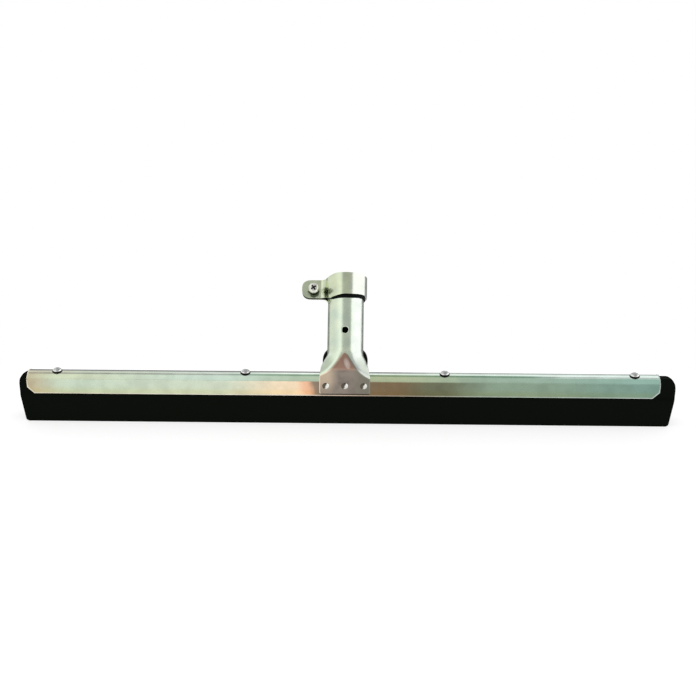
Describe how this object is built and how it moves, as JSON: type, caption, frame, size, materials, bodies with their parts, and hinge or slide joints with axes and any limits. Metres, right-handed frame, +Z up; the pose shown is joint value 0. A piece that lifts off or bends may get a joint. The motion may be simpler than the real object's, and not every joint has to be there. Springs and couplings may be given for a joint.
{
  "type": "floor squeegee",
  "caption": "Floor squeegee head: zinc-plated steel channel gripping a twin-lip black foam rubber blade, with a slanted handle socket and a screw clamp.",
  "frame": {"origin": "middle of the front lip's flat foot, where the squeegee meets the floor", "axes": "+X along the blade, +Y to the rear, the way the handle socket leans, +Z up"},
  "size_m": [0.55, 0.0807, 0.1165],
  "materials": {
    "zinc_sheet": "satin",
    "strip_steel": "satin",
    "fastener_steel": "satin",
    "foam_rubber": "matte",
    "liner_rubber": "satin"
  },
  "bodies": {
    "frame": {"frame_channel": "zinc_sheet", "retainer_strip": "strip_steel", "blade_fold": "foam_rubber", "socket": "zinc_sheet", "rivet_1": "fastener_steel", "rivet_2": "fastener_steel", "rivet_3": "fastener_steel", "rivet_4": "fastener_steel", "rivet_burr_1": "strip_steel", "rivet_burr_2": "strip_steel", "rivet_burr_3": "strip_steel", "rivet_burr_4": "strip_steel"},
    "front_lip_body": {"front_lip": "foam_rubber"},
    "rear_lip_body": {"rear_lip": "foam_rubber"},
    "clamp": {"clamp_band": "zinc_sheet", "clamp_liner": "liner_rubber", "clamp_nut": "fastener_steel"},
    "washer": {"clamp_washer": "fastener_steel"},
    "screw": {"clamp_screw": "fastener_steel"}
  },
  "joints": [
    {"name": "front_lip_bend", "type": "hinge", "parent": "frame", "child": "front_lip_body", "pos_m": [0, 0, 0.0222], "axis": [1, 0, 0], "range_deg": [-25, 25], "stiffness_Nm_per_rad": 2},
    {"name": "rear_lip_bend", "type": "hinge", "parent": "frame", "child": "rear_lip_body", "pos_m": [0, 0.011, 0.0222], "axis": [1, 0, 0], "range_deg": [-25, 25], "stiffness_Nm_per_rad": 2},
    {"name": "clamp_swivel", "type": "hinge", "parent": "frame", "child": "clamp", "pos_m": [0, 0.05628, 0.0976], "axis": [0, 0.6626, 0.749], "continuous": true},
    {"name": "screw_travel", "type": "slide", "parent": "clamp", "child": "washer", "axis": [0, -0.749, 0.6626], "range_m": [0, 0.004]},
    {"name": "screw_turn", "type": "hinge", "parent": "washer", "child": "screw", "pos_m": [-0.0275, 0.05545, 0.09666], "axis": [0, -0.749, 0.6626], "range_deg": [0, 1805]}
  ],
  "couplings": [
    {"joint": "rear_lip_bend", "follows": "front_lip_bend", "ratio": 1},
    {"joint": "screw_turn", "follows": "screw_travel", "rad_per_m": 7854}
  ]
}
